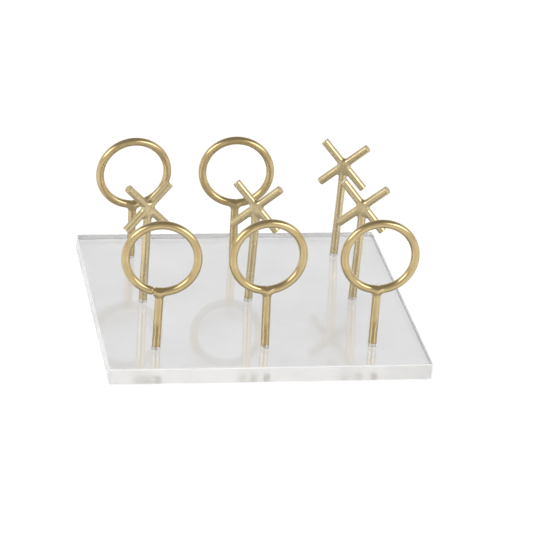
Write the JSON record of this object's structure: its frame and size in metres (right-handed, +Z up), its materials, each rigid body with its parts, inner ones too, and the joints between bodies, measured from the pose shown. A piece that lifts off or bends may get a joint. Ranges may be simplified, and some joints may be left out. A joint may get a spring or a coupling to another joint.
{
  "type": "tic tac toe set",
  "caption": "Tic tac toe set: a clear acrylic board with blind holes that hold gold rod noughts and crosses, which lift out and turn.",
  "frame": {"origin": "centre of the board's underside, on the surface it stands on", "axes": "+Z up; the players' near side is -Y, and the rows of holes run along X and Y"},
  "size_m": [0.1524, 0.1524, 0.0712],
  "materials": {
    "clear_acrylic": "clear cast acrylic, polished faces and edges, frosted drilled holes",
    "warm_gold": "satin gold plating with fine drawing lines",
    "pale_gold": "paler satin gold plating, slightly duller"
  },
  "bodies": {
    "board": {"board": "clear_acrylic"},
    "nought_front_left_peg": {"nought_front_left_stem": "warm_gold"},
    "nought_front_left_head": {"nought_front_left_ring": "warm_gold", "nought_front_left_braze": "warm_gold"},
    "nought_front_middle_peg": {"nought_front_middle_stem": "warm_gold"},
    "nought_front_middle_head": {"nought_front_middle_ring": "warm_gold", "nought_front_middle_braze": "warm_gold"},
    "nought_front_right_peg": {"nought_front_right_stem": "warm_gold"},
    "nought_front_right_head": {"nought_front_right_ring": "warm_gold", "nought_front_right_braze": "warm_gold"},
    "cross_middle_left_peg": {"cross_middle_left_stem": "pale_gold"},
    "cross_middle_left_head": {"cross_middle_left_through_bar": "pale_gold", "cross_middle_left_upper_half_bar": "pale_gold", "cross_middle_left_lower_half_bar": "pale_gold", "cross_middle_left_braze": "pale_gold"},
    "cross_centre_peg": {"cross_centre_stem": "pale_gold"},
    "cross_centre_head": {"cross_centre_through_bar": "pale_gold", "cross_centre_upper_half_bar": "pale_gold", "cross_centre_lower_half_bar": "pale_gold", "cross_centre_braze": "pale_gold"},
    "cross_middle_right_peg": {"cross_middle_right_stem": "pale_gold"},
    "cross_middle_right_head": {"cross_middle_right_through_bar": "pale_gold", "cross_middle_right_upper_half_bar": "pale_gold", "cross_middle_right_lower_half_bar": "pale_gold", "cross_middle_right_braze": "pale_gold"},
    "nought_back_left_peg": {"nought_back_left_stem": "warm_gold"},
    "nought_back_left_head": {"nought_back_left_ring": "warm_gold", "nought_back_left_braze": "warm_gold"},
    "nought_back_middle_peg": {"nought_back_middle_stem": "warm_gold"},
    "nought_back_middle_head": {"nought_back_middle_ring": "warm_gold", "nought_back_middle_braze": "warm_gold"},
    "cross_back_right_peg": {"cross_back_right_stem": "pale_gold"},
    "cross_back_right_head": {"cross_back_right_through_bar": "pale_gold", "cross_back_right_upper_half_bar": "pale_gold", "cross_back_right_lower_half_bar": "pale_gold", "cross_back_right_braze": "pale_gold"}
  },
  "joints": [
    {"name": "nought_front_left_lift", "type": "slide", "parent": "board", "child": "nought_front_left_peg", "axis": [0.0175, 0.0087, 0.9998], "range_m": [0, 0.07]},
    {"name": "nought_front_left_turn", "type": "hinge", "parent": "nought_front_left_peg", "child": "nought_front_left_head", "pos_m": [-0.0516, -0.0516, 0.008], "axis": [0.0175, 0.0087, 0.9998], "continuous": true},
    {"name": "nought_front_middle_lift", "type": "slide", "parent": "board", "child": "nought_front_middle_peg", "axis": [-0.0174, 0.0262, 0.9995], "range_m": [0, 0.07]},
    {"name": "nought_front_middle_turn", "type": "hinge", "parent": "nought_front_middle_peg", "child": "nought_front_middle_head", "pos_m": [0, -0.0516, 0.008], "axis": [-0.0174, 0.0262, 0.9995], "continuous": true},
    {"name": "nought_front_right_lift", "type": "slide", "parent": "board", "child": "nought_front_right_peg", "axis": [0.0087, 0, 1], "range_m": [0, 0.07]},
    {"name": "nought_front_right_turn", "type": "hinge", "parent": "nought_front_right_peg", "child": "nought_front_right_head", "pos_m": [0.0516, -0.0516, 0.008], "axis": [0.0087, 0, 1], "continuous": true},
    {"name": "cross_middle_left_lift", "type": "slide", "parent": "board", "child": "cross_middle_left_peg", "axis": [0.0087, 0.0087, 0.9999], "range_m": [0, 0.07]},
    {"name": "cross_middle_left_turn", "type": "hinge", "parent": "cross_middle_left_peg", "child": "cross_middle_left_head", "pos_m": [-0.0516, 0, 0.008], "axis": [0.0087, 0.0087, 0.9999], "continuous": true},
    {"name": "cross_centre_lift", "type": "slide", "parent": "board", "child": "cross_centre_peg", "axis": [0.0262, 0, 0.9997], "range_m": [0, 0.07]},
    {"name": "cross_centre_turn", "type": "hinge", "parent": "cross_centre_peg", "child": "cross_centre_head", "pos_m": [0, 0, 0.008], "axis": [0.0262, 0, 0.9997], "continuous": true},
    {"name": "cross_middle_right_lift", "type": "slide", "parent": "board", "child": "cross_middle_right_peg", "axis": [0.0349, -0.0087, 0.9994], "range_m": [0, 0.07]},
    {"name": "cross_middle_right_turn", "type": "hinge", "parent": "cross_middle_right_peg", "child": "cross_middle_right_head", "pos_m": [0.0516, 0, 0.008], "axis": [0.0349, -0.0087, 0.9994], "continuous": true},
    {"name": "nought_back_left_lift", "type": "slide", "parent": "board", "child": "nought_back_left_peg", "axis": [-0.0087, -0.0262, 0.9996], "range_m": [0, 0.07]},
    {"name": "nought_back_left_turn", "type": "hinge", "parent": "nought_back_left_peg", "child": "nought_back_left_head", "pos_m": [-0.0516, 0.0516, 0.008], "axis": [-0.0087, -0.0262, 0.9996], "continuous": true},
    {"name": "nought_back_middle_lift", "type": "slide", "parent": "board", "child": "nought_back_middle_peg", "axis": [-0.0175, -0.0087, 0.9998], "range_m": [0, 0.07]},
    {"name": "nought_back_middle_turn", "type": "hinge", "parent": "nought_back_middle_peg", "child": "nought_back_middle_head", "pos_m": [0, 0.0516, 0.008], "axis": [-0.0175, -0.0087, 0.9998], "continuous": true},
    {"name": "cross_back_right_lift", "type": "slide", "parent": "board", "child": "cross_back_right_peg", "axis": [0.0349, -0.0087, 0.9994], "range_m": [0, 0.07]},
    {"name": "cross_back_right_turn", "type": "hinge", "parent": "cross_back_right_peg", "child": "cross_back_right_head", "pos_m": [0.0516, 0.0516, 0.008], "axis": [0.0349, -0.0087, 0.9994], "continuous": true}
  ]
}
